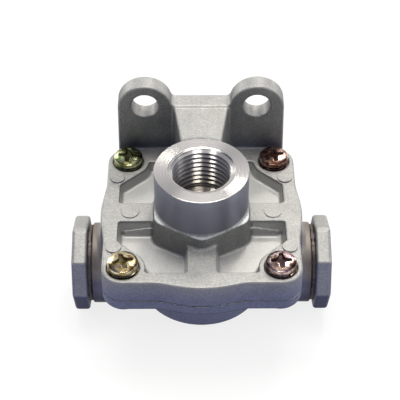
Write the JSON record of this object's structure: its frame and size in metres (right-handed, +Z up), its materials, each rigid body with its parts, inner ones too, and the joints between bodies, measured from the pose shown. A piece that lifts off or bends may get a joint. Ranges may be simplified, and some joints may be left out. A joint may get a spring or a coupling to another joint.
{
  "type": "quick exhaust valve",
  "caption": "Cast quick exhaust valve: threaded supply boss on top, threaded delivery ports at the sides, exhaust port underneath, and a rear plate with mounting ears.",
  "frame": {"origin": "centre of the outline's bounding box, at the height of the exhaust face that the valve stands on", "axes": "+X along the delivery ports, +Y towards the rear mounting plate, +Z up along the supply port"},
  "size_m": [0.0866, 0.0716, 0.0676],
  "materials": {
    "cast_aluminium": "as-cast aluminium, fine grained and matt, with bright turned faces and bores at the ports",
    "zinc_plate": "steel with bright yellow iridescent zinc plating",
    "spring_steel": "plain drawn and pressed steel, satin",
    "rubber": "matt black moulded rubber"
  },
  "bodies": {
    "valve_housing": {"body": "cast_aluminium", "cover": "cast_aluminium", "cover_seal_ring": "rubber", "diaphragm_spring": "spring_steel", "cover_screw_1": "zinc_plate", "cover_screw_2": "zinc_plate", "cover_screw_3": "zinc_plate", "cover_screw_4": "zinc_plate", "lock_washer_1": "zinc_plate", "lock_washer_2": "zinc_plate", "lock_washer_3": "zinc_plate", "lock_washer_4": "zinc_plate"},
    "diaphragm_group": {"diaphragm": "rubber", "spring_seat": "spring_steel"}
  },
  "joints": [
    {"name": "diaphragm_slide", "type": "slide", "parent": "valve_housing", "child": "diaphragm_group", "axis": [0, 0, -1], "range_m": [0, 0.0019], "stiffness_N_per_m": 400, "springref_m": -0.002, "deforming": ["diaphragm_spring"]}
  ]
}
